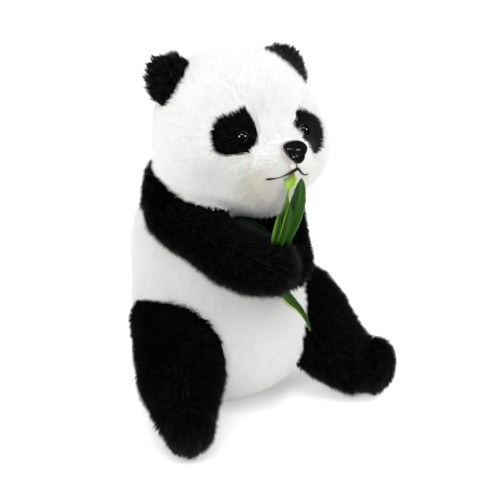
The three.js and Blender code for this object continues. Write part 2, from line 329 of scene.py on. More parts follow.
def corners_of(name):
    """A CAD node's vertices and triangles."""
    mesh = nodes[name].data
    mesh.calc_loop_triangles()
    return read(mesh, "vertices", "co", 3), read(mesh, "loop_triangles", "vertices", 3, np.int32)


def middle_of(name):
    low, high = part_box(name)
    return np.array((low + high) / 2)


def add_piece(name, mesh, material, slot, *replaced):
    """A finished piece of the toy, riding on its one body."""
    piece = placed(name, mesh)
    if not mesh.materials:
        mesh.materials.append(material)
    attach(piece, "root")
    if replaced:
        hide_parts(*replaced)
    return piece


# ---- the skin ----

WHITE, BLACK, CREAM = "white_plush", "black_plush", "muzzle_plush"
NOSE_AT = middle_of("nose")
# Airbrushed brown round the nose and at the middle of the mouth, then painted shade with a warm
# tint under each side of the muzzle: its middle, the distances at which it is full and gone, its
# dye and its strength.
AIRBRUSH_AND_PAINTED_SHADE = [
    (NOSE_AT + (0, 0.003, 0.0), 8.0 * MM, 10.6 * MM, (0.52, 0.42, 0.36), 0.45),
    (NOSE_AT + (-1.5 * MM, 0, -13 * MM), 1.5 * MM, 5.0 * MM, (0.72, 0.46, 0.25), 0.8),
    # these two are painted shade under the muzzle's sides, with a warm tint; darker and wider on the
    # toy's right
    (NOSE_AT + (-0.022, 0.014, -0.027), 7 * MM, 25 * MM, (0.74, 0.72, 0.62), 0.8),
    (NOSE_AT + (0.022, 0.014, -0.027), 7 * MM, 21 * MM, (0.80, 0.78, 0.69), 0.8),
]
PALE = (0.3, 0.62), 0.2, 0.03, AIRBRUSH_AND_PAINTED_SHADE  # what the two pale piles share
PLUSH = {
    WHITE: plush("plush_white", (0.845, 0.842, 0.828), (0.92, 0.918, 0.91), *PALE),
    BLACK: plush("plush_black", (0.0002, 0.0002, 0.0004), (0.022, 0.022, 0.024), (0.5, 0.78), 0.05, 0.02),
    CREAM: plush("plush_muzzle", (0.84, 0.835, 0.81), (0.92, 0.915, 0.90), *PALE),
}
# The soft nodes: the dye of their pile, its depth over the skin in millimetres, its tufts to a
# square millimetre, how much they gather into locks, the bands of faces along a tuft, and the
# rank that says whose pile lies over its neighbour's where two dyes meet.
FLESH = {
    "head": (WHITE, 6.5, 2.9, 0.1, 1, 3),
    "muzzle": (CREAM, 5.0, 3.6, 0.05, 1, 3),
    "eye_patch_left": (BLACK, 4.6, 3.5, 0.2, 1, 4),
    "eye_patch_right": (BLACK, 4.6, 3.5, 0.2, 1, 4),
    "ear_left": (BLACK, 6.4, 2.0, 0.55, 2, 5),
    "ear_right": (BLACK, 6.4, 2.0, 0.55, 2, 5),
    "trunk": (WHITE, 6.5, 2.6, 0.1, 1, 0),
    "shoulders": (BLACK, 6.5, 2.4, 0.32, 1, 1),
    "tail": (WHITE, 6.0, 2.4, 0.2, 1, 0),
    "arm_left": (BLACK, 6.0, 2.6, 0.32, 1, 2),
    "arm_right": (BLACK, 6.0, 2.6, 0.32, 1, 2),
    "leg_left": (BLACK, 6.5, 2.4, 0.32, 1, 2),
    "leg_right": (BLACK, 6.5, 2.4, 0.32, 1, 2),
    "foot_left": (BLACK, 4.5, 3.0, 0.3, 1, 2),
    "foot_right": (BLACK, 4.5, 3.0, 0.3, 1, 2),
}
NAMES = list(FLESH)
DYE, DEPTH, DENSITY, LOCKS, BANDS, RANK = (np.array(column) for column in zip(*FLESH.values()))
DEPTH, DENSITY = DEPTH * MM, DENSITY / MM**2
# Panels of one surface, whose pile carries its dye over the seam along its lie.
PANELS = [("head", "muzzle", "eye_patch_left", "eye_patch_right"), ("trunk", "shoulders")]
SURFACE = np.arange(len(NAMES))
for panel in PANELS:
    SURFACE[[NAMES.index(name) for name in panel]] = NAMES.index(panel[0])
SEAMS = [("head", "muzzle"), ("leg_left", "foot_left"), ("leg_right", "foot_right")]
VOXEL = 1.8 * MM
DEPTH_ROUNDS, SKIN_ROUNDS = 6, 4  # of smoothing, of the pile's depth and of the skin
# Where a panel's pile shows further over its neighbour's than its solid does: the panel, the
# neighbour, the middle of the place, its radius, and how far from the panel it reaches there.
REACH = [
    ("ear_left", "head", middle_of("ear_left"), 40 * MM, 7.0 * MM),
    ("arm_right", "head", (-0.068, -0.032, 0.188), 22 * MM, 4.0 * MM),
    ("shoulders", "head", (-0.068, -0.032, 0.188), 22 * MM, 4.0 * MM),
    ("head", "arm_right", (-0.040, -0.047, 0.168), 22 * MM, 3.0 * MM),
    ("eye_patch_left", "head", (0.0195, -0.071, 0.2195), 7.0 * MM, 12.0 * MM),
    ("head", "eye_patch_left", (0.021, -0.0635, 0.2335), 8.0 * MM, 12.0 * MM),
    ("head", "eye_patch_right", (-0.0205, -0.0755, 0.211), 4.5 * MM, 12.0 * MM),
]


class Markings:
    """Finds the soft node that a point of the coat belongs to: the one whose surface is nearest."""

    def __init__(self):
        points, faces, owners, self.alone, count = [], [], [], {}, 0
        for i, name in enumerate(NAMES):
            co, triangles = corners_of(name)
            points.append(co)
            faces.append(triangles + count)
            owners.append(np.full(len(triangles), i))
            count += len(co)
            self.alone[name] = surface_of(co, triangles)
        self.owners = np.concatenate(owners)
        self.tree = surface_of(np.concatenate(points), np.concatenate(faces))

    def at(self, points):
        found = [self.tree.find_nearest(p)[2] for p in points.tolist()]
        owners = self.owners[found]
        for panel, neighbour, middle, radius, reach in REACH:
            fade = 1 - (np.linalg.norm(points - middle, axis=1) / radius) ** 2
            for row in np.flatnonzero((fade > 0) & (owners == NAMES.index(neighbour))):
                if self.alone[panel].find_nearest(points[row], reach * fade[row])[0] is not None:
                    owners[row] = NAMES.index(panel)
        return owners

    def sunk(self, points):
        """The node whose surface is nearest to each point, and how deep the point is in it."""
        found = [self.tree.find_nearest(p) for p in points.tolist()]
        surface = np.array([hit[0] for hit in found])
        outward = np.array([hit[1] for hit in found])
        return self.owners[[hit[2] for hit in found]], -dot(points - surface, outward)[:, 0]


def fused_flesh():
    """The soft nodes with the nose and eyes as one smooth closed mesh, at the tips of the pile."""
    whole = bmesh.new()
    for name in [*NAMES, "nose", "eye_left", "eye_right"]:
        whole.from_mesh(nodes[name].data)
    bmesh.ops.remove_doubles(whole, verts=whole.verts, dist=1e-6)
    rough = bpy.data.meshes.new("rough")
    whole.to_mesh(rough)
    whole.free()
    shape = placed("rough", rough)
    fuse = shape.modifiers.new("fuse", "REMESH")
    fuse.mode = "VOXEL"
    fuse.voxel_size = VOXEL
    soften = shape.modifiers.new("soften", "SMOOTH")
    soften.factor = 0.5
    soften.iterations = 8
    graph = bpy.context.evaluated_depsgraph_get()
    mesh = bpy.data.meshes.new_from_object(shape.evaluated_get(graph))
    bpy.data.objects.remove(shape)
    return mesh


def evened(values, edges, times):
    """Values at vertices, averaged with their neighbours' a few times."""
    ends, others = np.concatenate([edges, edges[:, ::-1]]).T
    count = np.bincount(ends, minlength=len(values))[:, None]
    for _ in range(times):
        sums = [np.bincount(ends, v[others], len(values)) for v in values.T]
        values = 0.5 * values + 0.5 * np.stack(sums, 1) / count
    return values


TOE_CREASES = [(-6.0, 6.0), (5.5, 7.0)]  # across the foot and depth, in millimetres
CREASE_HALF, CREASE_FAR = 1.7 * MM, 35 * MM  # half a crease's width, and its reach from the foot's middle


def toe_creases(points):
    """How far the sewn creases between the toes pull each point in."""
    pull = np.zeros((len(points), 1))
    for name in ("foot_left", "foot_right"):
        ankle = middle_of(name.replace("foot", "leg"))
        sole = middle_of(name)
        ahead = unit((sole - ankle) * (1, 1, 0))
        across = np.cross((0, 0, 1), ahead)
        local = points - sole
        front = step(0, 8 * MM, local @ ahead) * step(8 * MM, -10 * MM, local[:, 2])
        near = np.linalg.norm(local, axis=1) < CREASE_FAR
        for place, deep in TOE_CREASES:
            off = local @ across - place * MM
            pull[:, 0] += deep * MM * np.exp(-((off / CREASE_HALF) ** 2)) * front * near
    return pull


class Skin:
    """The cloth under the pile: one mesh inside the soft nodes, by the depth of their pile."""

    def __init__(self, markings):
        mesh = fused_flesh()
        edges = read(mesh, "edges", "vertices", 2, np.int32)
        outer = read(mesh, "vertices", "co", 3)
        normals = read(mesh, "vertex_normals", "vector", 3)
        self.labels = markings.at(outer)
        depth = evened(DEPTH[self.labels][:, None], edges, DEPTH_ROUNDS)
        inner = outer - normals * (depth + toe_creases(outer))
        inner = evened(inner, edges, SKIN_ROUNDS)
        mesh.vertices.foreach_set("co", inner.ravel())
        mesh.update()
        mesh.calc_loop_triangles()
        self.mesh = mesh
        self.points = inner
        self.edges = edges
        self.normals = read(mesh, "vertex_normals", "vector", 3)
        self.depth = depth[:, 0]
        self.triangles = read(mesh, "loop_triangles", "vertices", 3, np.int32)

    def dress(self):
        """Dyes each face as the coat over it, and adds the skin to the toy."""
        slots = list(PLUSH)
        for slot in slots:
            self.mesh.materials.append(PLUSH[slot])
        black = DYE[self.labels] == BLACK
        surface = SURFACE[self.labels][self.edges]
        a, b = self.edges[surface[:, 0] != surface[:, 1]].T
        for _ in range(2):
            near = np.zeros(len(black), bool)
            near[a], near[b] = black[b], black[a]
            black |= near
        first = read(self.mesh, "polygons", "loop_start", 1, np.int32)[:, 0]
        corner = read(self.mesh, "loops", "vertex_index", 1, np.int32)[:, 0]
        dye = np.where(black, BLACK, DYE[self.labels])[corner[first]]
        index = np.array([slots.index(d) for d in dye], np.int32)
        self.mesh.polygons.foreach_set("material_index", index)
        self.mesh.shade_smooth()
        piece = add_piece("skin", self.mesh, None, WHITE, *NAMES)

    def borders(self):
        """Where two dyes meet: points, with the node whose pile lies over."""
        a, b = self.labels[self.edges].T
        met = (DYE[a] == BLACK) != (DYE[b] == BLACK)
        a, b = a[met], b[met]
        over = np.where(RANK[a] > RANK[b], a, b)
        return self.points[self.edges[met]].mean(1), over

    def seams(self):
        """Points along the sewn seams that show as a furrow in the pile."""
        a, b = self.labels[self.edges].T
        pairs = [{NAMES.index(one), NAMES.index(other)} for one, other in SEAMS]
        sewn = [{one, other} in pairs for one, other in zip(a.tolist(), b.tolist())]
        return self.points[self.edges[sewn]].mean(1)

    def scatter(self, density, seed):
        """Evenly spread roots: their points, normals and the depth of pile there."""
        a, b, c = (self.points[self.triangles[:, k]] for k in range(3))
        area = np.linalg.norm(np.cross(b - a, c - a), axis=1) / 2
        wanted = np.cumsum(area * density[self.labels[self.triangles[:, 0]]])
        rng = np.random.default_rng(seed)
        ticks = np.arange(int(wanted[-1])) + rng.uniform(0, 1, int(wanted[-1]))
        at = np.minimum(np.searchsorted(wanted, ticks), len(area) - 1)
        u, v = rng.uniform(0, 1, (2, len(at)))
        over = u + v > 1
        u, v = np.where(over, 1 - u, u), np.where(over, 1 - v, v)
        weights = np.stack([1 - u - v, u, v], 1)
        rows = self.triangles[at]
        mix = lambda values: (values[rows] * weights[:, :, None]).sum(1)
        return mix(self.points), unit(mix(self.normals)), mix(self.depth[:, None])[:, 0]


# ---- the lie of the coat ----

DOWN = np.array((0, 0, -1.0))
TRUNK_OUT, TAIL_DOWN, FOOT_DOWN = 0.25, 0.5, 0.8  # how much of a second way each lie mixes in
EAR_ROOT, ANKLE = 0.45, 0.4  # where their pile spreads from: this far to the head's or leg's middle


def away_from(point):
    return lambda p: unit(p - point)


def down_limb(name):
    """Along a limb's middle line, from the body to the paw, which all limbs follow towards -Y."""
    co, _ = corners_of(name)
    cuts = np.linspace(co[:, 1].max(), co[:, 1].min(), 8)
    slabs = [co[(co[:, 1] <= a) & (co[:, 1] >= b)] for a, b in zip(cuts, cuts[1:])]
    middles = np.array([slab.mean(0) for slab in slabs])
    ways = unit(np.gradient(middles, axis=0))
    return lambda p: np.stack([np.interp(-p[:, 1], -middles[:, 1], w) for w in ways.T], 1)


def over_head(p):
    """From the nose back over the head, then down its back."""
    nose, head = middle_of("nose"), middle_of("head")
    back = step(head[1] - 10 * MM, head[1] + 50 * MM, p[:, 1:2])
    return unit(unit(p - nose) * (1 - back) + DOWN * back)


def down_trunk(p):
    trunk = middle_of("trunk")
    out = unit((p - trunk) * (1, 1, 0))
    return unit(DOWN + TRUNK_OUT * out)


def over_foot(name):
    ankle = (1 - ANKLE) * middle_of(name) + ANKLE * middle_of(name.replace("foot", "leg"))
    return lambda p: unit(unit(p - ankle) + FOOT_DOWN * DOWN)


def out_of_ear(name):
    return away_from((1 - EAR_ROOT) * middle_of(name) + EAR_ROOT * middle_of("head"))


LIE = {
    "head": over_head,
    "muzzle": away_from(middle_of("nose")),
    "trunk": down_trunk,
    "shoulders": down_trunk,
    "tail": lambda p: unit(unit(p - middle_of("trunk")) + TAIL_DOWN * DOWN),
}
for side in ("_left", "_right"):
    LIE["eye_patch" + side] = away_from(middle_of("nose"))
    LIE["ear" + side] = out_of_ear("ear" + side)
    LIE["arm" + side] = down_limb("arm" + side)
    LIE["leg" + side] = down_limb("leg" + side)
    LIE["foot" + side] = over_foot("foot" + side)


# ---- the coat ----

TUFT_WIDTH = {1: 0.62 * MM, 2: 0.95 * MM}  # at the root, by the bands of faces along a tuft
TUFT_THICK, ROOT_SUNK = 0.3 * MM, 0.4 * MM  # at the root, and how far that is under the skin
WIDTH_SPREAD = 0.25  # how much widths vary
KNEE_LEAN, KNEE_WIDE = 0.4, 0.8  # the part of its lean and of its width that a tuft has at its bend
LONGER = 1.1  # than the pile is deep
UNEVEN, UNEVEN_SIZE = 0.10, 5 * MM  # how the pile's depth varies, and over what distance
RAGGED, LOCK_RAGGED = 0.10, 0.2  # how tufts' lengths vary, and how much more in tight locks
STRAY = [(0.28, 14 * MM, 5), (0.2, 4 * MM, 6)]  # the lie's wandering: how much, its size and seed
LIFT_ROOT, LIFT_TIP, LIFT_SPREAD = (math.radians(angle) for angle in (64, 34, 7))  # off the skin
LOCK_TUFTS = {1: 14, 2: 17}  # tufts in a lock, by their bands
SPIKE = 0.6  # how much longer the middle of a lock is than its edge, for tightly gathered locks
# Out from a lock's middle, to its size: where lengths stay, and from where they fall no further.
LOCK_EVEN, LOCK_EDGE = 0.6, 1.5
BEND, SHAG = 0.25, 0.9  # how much a tuft's own shape is lit over the form under it, and more in locks
LEAN_OVER = 0.25  # how far over its neighbour a panel's pile shows, for each depth of pile
PATCH = 0.003  # each tuft's place on the bake map
MOST_FACES = 190000  # triangles in one coat piece
TUFT_FACES = {1: 3, 2: 9}  # triangles in a tuft, by its bands
LEAST_HEIGHT = 0.2 * MM  # over the floor
# Round the eyes, the nose and the mouth's thread: how far off the skin is bare, and the pile short.
EYE_CLEAR, NOSE_CLEAR, MOUTH_CLEAR = (4.4 * MM, 10 * MM), (7.8 * MM, 19 * MM), (0.9 * MM, 2.8 * MM)
FURROW_DEEP, FURROW = 0.4 * MM, 2.6 * MM  # half the width of a seam's furrow, where deepest and in all
TOE_FULL = 6 * MM  # the pull of a toe's crease at which the pile is shortest
FURROW_CUT, TOE_CUT = 0.6, 0.5  # the part of the pile that is missing in a furrow and between the toes
MEETING = 4.5 * MM  # how far from a border of two dyes their piles part or overlap
UPPER_PUSH, LOWER_PUSH = 0.22, 0.4  # how far the two piles are turned there, over and back
# The part of the pile that is missing at such a border: black that lies over, black under, other.
UPPER_CUT, LOWER_CUT, WHITE_CUT = 0.35, 0.7, 0.5
CLEAR_CUT = 0.55  # and next to the eyes, the nose and the mouth
INSIDE = 1.0 * MM  # how deep in another soft node a tuft's tip has to be for the tuft to go


class Tufts:
    """Roots with their frames: everything that a tuft's shape is worked out from."""

    def __init__(self, skin, markings):
        self.root, self.normal, self.depth = skin.scatter(DENSITY, seed=3)
        stray = sum(much * cloud_noise(self.root, size, seed) for much, size, seed in STRAY)
        self.way = np.zeros_like(self.root)
        above = markings.at(self.root + self.normal * self.depth[:, None])
        self.label = above
        for sewn in (False, True):
            if sewn:
                tip = self.normal + self.way * LEAN_OVER
                label = markings.at(self.root + tip * self.depth[:, None])
                self.label = np.where(SURFACE[label] == SURFACE[above], label, above)
            for i, name in enumerate(NAMES):
                here = self.label == i
                self.way[here] = LIE[name](self.root[here])
            self.way += stray
            self.way = unit(self.way - self.normal * dot(self.way, self.normal))
        rng = np.random.default_rng(8)
        height = self.depth * (1 + UNEVEN * cloud_noise(self.root, UNEVEN_SIZE, 9)[:, 0])
        rise = (math.sin(LIFT_ROOT) + math.sin(LIFT_TIP)) / 2
        ragged = RAGGED + LOCK_RAGGED * LOCKS[self.label]
        self.length = height / rise * (LONGER + ragged * rng.uniform(-1, 1, len(height)))
        self.lift = rng.normal(0, LIFT_SPREAD, len(height))
        widths = np.array([TUFT_WIDTH[bands] for bands in BANDS])
        spread = rng.uniform(1 - WIDTH_SPREAD, 1 + WIDTH_SPREAD, len(height))
        self.width = widths[self.label] * spread

    def keep(self, which):
        for key, value in vars(self).items():
            setattr(self, key, value[which])

    def clear_of(self, point, bare, near):
        """Leaves a place bare, with short tufts round it that lie away from it."""
        off = self.root + self.normal * self.depth[:, None] - point
        far = np.linalg.norm(off, axis=1)
        close = 1 - step(bare, near, far)
        self.length = self.length * (1 - CLEAR_CUT * close)
        turn = unit(off - self.normal * dot(off, self.normal))
        self.way = unit(self.way * (1 - close[:, None]) + turn * close[:, None])
        self.keep(far > bare)

    def meet(self, borders):
        """Where two dyes meet, the upper pile lies out over the lower, which is short and lies back."""
        points, over = borders
        tree = nearest_of(points)
        found = [tree.find(p)[1:] for p in self.root.tolist()]
        which = np.array([hit[0] for hit in found])
        gap = np.array([hit[1] for hit in found])
        black = DYE[self.label] == BLACK
        upper = black == (DYE[over[which]] == BLACK)
        close = 1 - step(0, MEETING, gap)
        toward = points[which] - self.root
        toward = unit(toward - self.normal * dot(toward, self.normal)) * np.where(upper, 1, -1)[:, None]
        push = np.where(upper, UPPER_PUSH, LOWER_PUSH)[:, None] * close[:, None]
        self.way = unit(self.way * (1 - push) + toward * push)
        cut = np.where(black, np.where(upper, UPPER_CUT, LOWER_CUT), WHITE_CUT)
        self.length = self.length * (1 - cut * close)

    def sink(self, seams):
        """Shortens the pile along the furrows of seams and between the toes."""
        tree = nearest_of(seams)
        gap = np.array([tree.find(p)[2] for p in self.root.tolist()])
        furrow = FURROW_CUT * (1 - step(FURROW_DEEP, FURROW, gap))
        toes = toe_creases(self.root)[:, 0] / TOE_FULL
        self.length = self.length * (1 - furrow) * (1 - TOE_CUT * np.minimum(toes, 1))

    def gather(self):
        """Leans the tips of neighbouring tufts together into locks, longest in their middles."""
        size = np.array([LOCK_TUFTS[bands] for bands in BANDS])[self.label]
        chosen = np.random.default_rng(11).uniform(0, 1, len(size)) * size < 1
        spots = np.flatnonzero(chosen)
        tree = nearest_of(self.root[spots])
        nearest = spots[[tree.find(p)[1] for p in self.root]]
        centre = self.root[nearest] - self.root
        locks = LOCKS[self.label]
        self.lean = centre * locks[:, None]
        reach = np.sqrt(size / DENSITY[self.label] / math.pi)
        off = np.minimum(np.linalg.norm(centre, axis=1) / reach, LOCK_EDGE)
        self.length = self.length * (1 + SPIKE * locks * (LOCK_EVEN - off))

    def part_from_others(self, markings):
        """Drops tufts whose tips, before they lean, are nearest to another soft node and in it."""
        a = (LIFT_ROOT + LIFT_TIP) / 2
        tip = self.root + self.length[:, None] * (self.normal * math.sin(a) + self.way * math.cos(a))
        owner, deep = markings.sunk(tip)
        self.keep((owner == self.label) | (deep < INSIDE))


def tuft_mesh(name, t, bands):
    """One mesh of tapered, three-sided tufts of one band, or of two with a bend between."""
    count = len(t.root)
    half = t.length[:, None] / 2
    across = unit(np.cross(t.normal, t.way))
    lean_up = [(t.lift + angle)[:, None] for angle in (LIFT_ROOT, LIFT_TIP)]
    first, second = (t.normal * np.sin(a) + t.way * np.cos(a) for a in lean_up)
    knee = t.root + first * half + t.lean * KNEE_LEAN
    tip = knee + second * half + t.lean * (1 - KNEE_LEAN)
    base = t.root - t.normal * ROOT_SUNK
    up = unit(np.cross(first, across))
    wide = across * t.width[:, None] / 2
    tall = up * TUFT_THICK
    rings = [base - wide, base + wide, base + tall]
    if bands == 2:
        rings += [knee - wide * KNEE_WIDE, knee + wide * KNEE_WIDE, knee + tall]
    points = np.stack([*rings, tip], 1)
    points[:, :, 2] = np.maximum(points[:, :, 2], LEAST_HEIGHT)
    bend = (BEND + SHAG * LOCKS[t.label])[:, None]
    soft = t.normal + second * bend + t.lean / MM * bend * 0.5
    sides = [soft - across * (bend + 0.1), soft + across * (bend + 0.1), soft + up * 0.3]
    normals = np.stack([*sides * bands, soft], 1)
    size = 3 * bands + 1
    band = [(a, a + 3, b + 3, b) for a, b in ((0, 2), (2, 1), (1, 0))] if bands == 2 else []
    top = 3 * bands - 3
    faces = band + [(top + a, size - 1, top + b) for a, b in ((0, 2), (2, 1), (1, 0))]
    corner = np.concatenate(faces)
    starts = np.cumsum([0] + [len(face) for face in faces[:-1]])
    each = np.arange(count)[:, None]
    loops = (corner[None] + size * each).ravel()
    mesh = bpy.data.meshes.new(name)
    mesh.vertices.add(size * count)
    mesh.vertices.foreach_set("co", points.ravel().astype(np.float32))
    mesh.loops.add(len(loops))
    mesh.loops.foreach_set("vertex_index", loops.astype(np.int32))
    mesh.polygons.add(len(faces) * count)
    begin = (starts[None] + len(corner) * each).ravel()
    mesh.polygons.foreach_set("loop_start", begin.astype(np.int32))
    mesh.update(calc_edges=True)
    patch = [(side * 0.5, row / bands) for row in range(bands) for side in (-1, 1, 0)] + [(0, 1)]
    place = t.place[:, None] + np.array(patch) * PATCH
    layer = mesh.uv_layers.new(name="OFBake")
    layer.data.foreach_set("uv", place.reshape(-1, 2)[loops].ravel().astype(np.float32))
    mesh.normals_split_custom_set_from_vertices(unit(normals.reshape(-1, 3)).astype(np.float32))
    return mesh


def unwrapped(points, node):
    """Places on a square for points round a node: its shape opened out from the back."""
    low, high = (np.array(corner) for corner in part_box(node))
    round_it = unit((points - (low + high) / 2) / (high - low))
    x, y, z = round_it.T
    p = np.stack([x, z, -y], 1)
    p /= np.abs(p).sum(1, keepdims=True)
    flat = p[:, :2].copy()
    sign = np.where(flat >= 0, 1, -1)
    behind = p[:, 2] < 0
    flat[behind] = ((1 - np.abs(flat[:, ::-1])) * sign)[behind]
    return 0.5 + 0.49 * flat


def add_coat(skin, markings, mouth):
    tufts = Tufts(skin, markings)
    for side in ("left", "right"):
        tufts.clear_of(middle_of("eye_" + side), *EYE_CLEAR)
    tufts.clear_of(middle_of("nose") + (0, 1 * MM, 0), *NOSE_CLEAR)
    tufts.meet(skin.borders())
    tufts.sink(skin.seams())
    for point in mouth:
        tufts.clear_of(point, *MOUTH_CLEAR)
    tufts.gather()
    tufts.part_from_others(markings)
    if not 0 < tufts.length.min() <= tufts.length.max() < 3 * DEPTH.max():
        raise ValueError("a tuft is longer than the pile can be")
    total = 0
    for i, name in enumerate(NAMES):
        bands = BANDS[i]
        here = np.flatnonzero(tufts.label == i)
        parts = math.ceil(len(here) * TUFT_FACES[bands] / MOST_FACES)
        here = here[np.argsort(tufts.root[here, 0], kind="stable")]
        for part, rows in enumerate(np.array_split(here, parts)):
            chosen = copy.copy(tufts)
            chosen.keep(rows)
            chosen.place = unwrapped(chosen.root, name)
            label = f"coat_{name}" + (f"_{part + 1}" if parts > 1 else "")
            dye = FLESH[name][0]
            add_piece(label, tuft_mesh(label, chosen, bands), PLUSH[dye], dye)
        total += len(here) * TUFT_FACES[bands]
        print(name, len(here))
    print("coat triangles", total)


# ---- eyes, nose and mouth ----


def around(count):
    """Angles at even steps of one turn."""
    return np.linspace(0, 2 * math.pi, count, endpoint=False)


def rings_to_mesh(name, rings):
    """A closed mesh from rings of points, each joined to the next, with a face at both ends."""
    mesh = bpy.data.meshes.new(name)
    shape = bmesh.new()
    made = [[shape.verts.new(p) for p in ring] for ring in rings]
    for lower, upper in zip(made, made[1:]):
        for i in range(len(lower)):
            k = (i + 1) % len(lower)
            shape.faces.new((lower[i], lower[k], upper[k], upper[i]))
    shape.faces.new(made[0][::-1])
    shape.faces.new(made[-1])
    bmesh.ops.recalc_face_normals(shape, faces=shape.faces)
    shape.to_mesh(mesh)
    shape.free()
    mesh.shade_smooth()
    return mesh


def plastic(name, dark, light, rough, shine):
    """Moulded glossy plastic with faint cloudiness and a very slightly uneven surface."""
    n = Nodes(name)
    n.surface(n.ramp(n.noise(260), (0.3, dark), (0.7, light)), rough, shine)
    n.bump(n.noise(900, 2), 0.04 * MM, 0.4)
    return n.material


EYE_RADIUS = 5.0 * MM
# Height over the eye's middle and radius, as fractions of its radius, from its base to the top.
EYE_PROFILE = [
    (-0.5, 0.8), (-0.5, 0.98), (-0.3, 0.99), (0.0, 1.0), (0.25, 0.965),
    (0.5, 0.86), (0.7, 0.7), (0.84, 0.52), (0.94, 0.31), (0.985, 0.12),
]


def add_eye(side):
    """A domed eye on a short straight base, looking out of the face."""
    middle = middle_of("eye_" + side)
    head = middle_of("head")
    out = unit(unit(middle - head) * (1, 1, 0.4) + np.array((0, -0.9, 0)))
    right = unit(np.cross(out, (0, 0, 1)))
    up = np.cross(right, out)
    turns = around(48)[:, None]
    ring = right * np.cos(turns) + up * np.sin(turns)
    rows = [middle + (out * high + ring * wide) * EYE_RADIUS for high, wide in EYE_PROFILE]
    mesh = rings_to_mesh("eyeball_" + side, rows)
    add_piece("eyeball_" + side, mesh, EYE_PLASTIC, "eye_plastic", "eye_" + side)


# Each nostril's dents: across, above the middle, half width, half height and depth.
NOSTRIL = [
    (3.9 * MM, -0.9 * MM, 1.7 * MM, 1.0 * MM, 2.4 * MM),
    (5.6 * MM, -2.2 * MM, 1.1 * MM, 1.5 * MM, 1.3 * MM),
]
GROOVE_DEEP, GROOVE_WIDE = 0.9 * MM, 0.55 * MM
NOSE_WIDE, NOSE_TAPER = 0.95, 0.34  # its width to the solid's, and how much it widens towards the top
NOSE_WINGS, NOSE_ROUND = 0.10, 0.8  # how far its sides stand up, and how its front bulges
NOSE_TILT = 0.37  # how far its lower edge leans out, for its height
BROW_PROUD, BROW_UP, BROW_HALF = 0.7 * MM, 2.6 * MM, 1.3 * MM  # the ridge over the nostrils


def add_nose():
    """A moulded nose: broad above, narrow below, with two nostrils and a groove between them."""
    low, high = (np.array(corner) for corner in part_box("nose"))
    middle, half = (low + high) / 2, (high - low) / 2
    turns = around(96)
    rows = []
    for tilt in np.linspace(-88, 88, 56):
        a = math.radians(tilt)
        x = np.cos(a) * np.cos(turns)
        z = np.cos(a) * np.sin(turns)
        y = np.full(len(turns), -math.sin(a))
        wide = half[0] * x * (NOSE_WIDE + NOSE_TAPER * z)
        tall = half[2] * (z + NOSE_WINGS * x * x)
        flat = half[1] * np.sign(y) * np.abs(y) ** NOSE_ROUND
        front = step(0, 0.4, -y)
        dent = np.zeros(len(turns))
        for side in (-1, 1):
            for across, above, spread, lift, deep in NOSTRIL:
                off = ((wide - side * across) / spread) ** 2 + ((tall - above) / lift) ** 2
                dent += deep * np.exp(-off)
        dent += GROOVE_DEEP * np.exp(-((wide / GROOVE_WIDE) ** 2)) * step(-0.5 * MM, -3 * MM, tall)
        brow = BROW_PROUD * np.exp(-(((tall - BROW_UP) / BROW_HALF) ** 2))
        flat = flat + (dent - brow) * front + NOSE_TILT * tall
        rows.append(middle + np.stack([wide, flat, tall], 1))
    mesh = rings_to_mesh("nose_moulded", rows)
    add_piece("nose_moulded", mesh, NOSE_PLASTIC, "nose_plastic", "nose")


# The mouth's stitched line in front view, across and up from the nose's middle, with the thread's
# radius, in millimetres.
MOUTH = {
    "lip_seam": [(0, -7.0, 0.3), (0.6, -9.2, 0.34), (1.6, -11.3, 0.5)],
    "mouth_right": [
        (1.6, -11.3, 1.1), (-1.6, -12.8, 1.1), (-5.2, -14.5, 0.75), (-8.5, -15.6, 0.34),
        (-11.4, -16.6, 0.34), (-14, -17.3, 0.5), (-16.4, -17.7, 0.9), (-18.6, -17.8, 0.45),
    ],
    "mouth_left": [
        (1.6, -11.3, 1.0), (4.2, -13.5, 0.8), (6.8, -15.8, 0.65), (9.6, -17.0, 0.5),
        (12.5, -17.6, 0.45), (15.5, -17.2, 0.3),
    ],
}


def mouth_paths(markings):
    """The mouth's lines laid on the tips of the pile: points, and the thread's radii."""
    nose = middle_of("nose")
    paths = {}
    for name, stops in MOUTH.items():
        stops = np.array(stops) * MM
        t = np.linspace(0, len(stops) - 1, 8 * (len(stops) - 1) + 1)
        x, z, radius = (np.interp(t, np.arange(len(stops)), column) for column in stops.T)
        for _ in range(3):
            x[1:-1], z[1:-1] = (x[:-2] + 2 * x[1:-1] + x[2:]) / 4, (z[:-2] + 2 * z[1:-1] + z[2:]) / 4
        path = []
        for across, up in zip(x, z):
            start = nose + (across, -0.1, up)
            path.append(markings.tree.ray_cast(Vector(start), Vector((0, 1, 0)))[0])
        paths[name] = (np.array(path), radius)
    return paths


TWIST, STRANDS, TWIST_TURN = 0.12, 3, 0.7  # how much the thread's twist shows, its strands and turn
THREAD_SUNK, THREAD_END = 0.15 * MM, 0.35  # its depth in the pile's tips, and its ends' radius to its own


def add_thread(name, path, radius):
    """A stitched thread: a thin tube with its twist."""
    along = unit(np.gradient(path, axis=0))
    out = unit(np.cross(along, (0, 0, 1)) + np.array((0, -0.001, 0)))
    out = np.where(out[:, 1:2] > 0, -out, out)
    up = unit(np.cross(out, along))
    turns = around(10)
    rows = []
    for i, (point, r) in enumerate(zip(path, radius)):
        twist = 1 + TWIST * np.cos(STRANDS * (turns + i * TWIST_TURN))
        ring = out[i] * np.cos(turns)[:, None] + up[i] * np.sin(turns)[:, None]
        end = THREAD_END if i in (0, len(path) - 1) else 1.0
        rows.append(point - out[i] * THREAD_SUNK + ring * (r * end * twist)[:, None])
    add_piece(name, rings_to_mesh(name, rows), THREAD, "nose_plastic")


